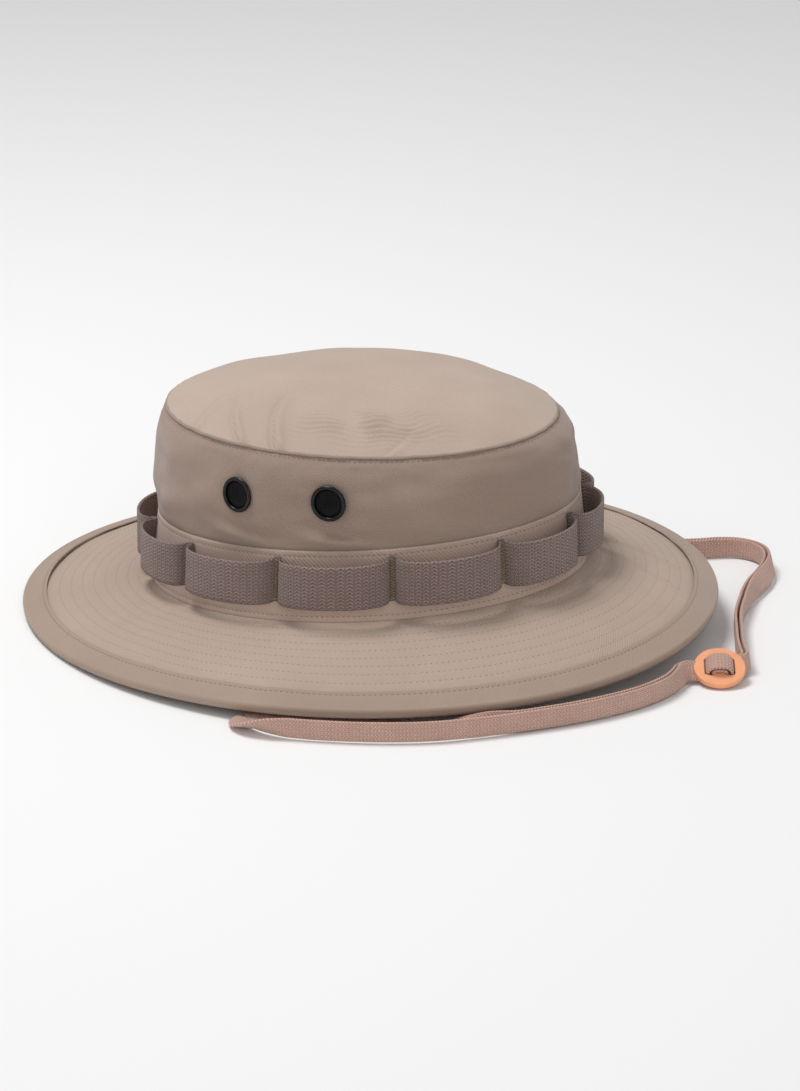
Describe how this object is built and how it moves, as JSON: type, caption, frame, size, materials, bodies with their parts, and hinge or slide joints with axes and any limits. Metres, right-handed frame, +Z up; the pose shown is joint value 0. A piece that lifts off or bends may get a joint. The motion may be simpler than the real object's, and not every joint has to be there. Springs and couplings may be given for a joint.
{
  "type": "boonie hat",
  "caption": "Soft round crown with a wide stitched brim, webbing loops round the band, screened side vents and a flat chin lace held by a leather keeper.",
  "frame": {"origin": "on the supporting surface under the middle of the brim's oval outline", "axes": "+X towards the front of the hat, +Y towards the wearer's left, +Z up through the crown"},
  "size_m": [0.3512, 0.3042, 0.1102],
  "materials": {
    "khaki_twill": "woven cotton twill, matt",
    "khaki_lining": "woven cotton twill, shaded side, matt",
    "interlining": "stiff white interlining, matt",
    "binding_tape": "folded cotton tape, matt",
    "webbing": "ribbed cotton webbing, matt",
    "thread": "close zigzag of sewing thread",
    "black_metal": "black enamel, satin",
    "lace": "flat braided cotton lace",
    "leather": "natural vegetable-tanned leather"
  },
  "bodies": {
    "hat": {"crown_top": "khaki_twill", "crown_side": "khaki_twill", "hat_band": "khaki_twill", "sweatband": "khaki_lining", "brim_upper": "khaki_twill", "brim_interlining": "interlining", "brim_under": "khaki_lining", "brim_binding": "binding_tape", "branch_loop_webbing": "webbing", "bar_tack_1": "thread", "bar_tack_2": "thread", "bar_tack_3": "thread", "bar_tack_4": "thread", "bar_tack_5": "thread", "bar_tack_6": "thread", "bar_tack_7": "thread", "bar_tack_8": "thread", "bar_tack_9": "thread", "bar_tack_10": "thread", "bar_tack_11": "thread", "bar_tack_12": "thread", "vent_eyelet_1": "black_metal", "vent_screen_1": "black_metal", "vent_washer_1": "black_metal", "vent_eyelet_2": "black_metal", "vent_screen_2": "black_metal", "vent_washer_2": "black_metal", "vent_eyelet_3": "black_metal", "vent_screen_3": "black_metal", "vent_washer_3": "black_metal", "vent_eyelet_4": "black_metal", "vent_screen_4": "black_metal", "vent_washer_4": "black_metal", "lace_left": "lace", "lace_right": "lace", "lace_loop": "lace"},
    "keeper_slider": {"keeper": "leather", "lace_bridge_outer": "lace", "lace_bridge_inner": "lace"}
  },
  "joints": [
    {"name": "keeper_slide", "type": "slide", "parent": "hat", "child": "keeper_slider", "axis": [-0.3, -0.9539, 0], "range_m": [0, 0.03], "deforming": ["lace_left", "lace_right", "lace_loop"]}
  ]
}
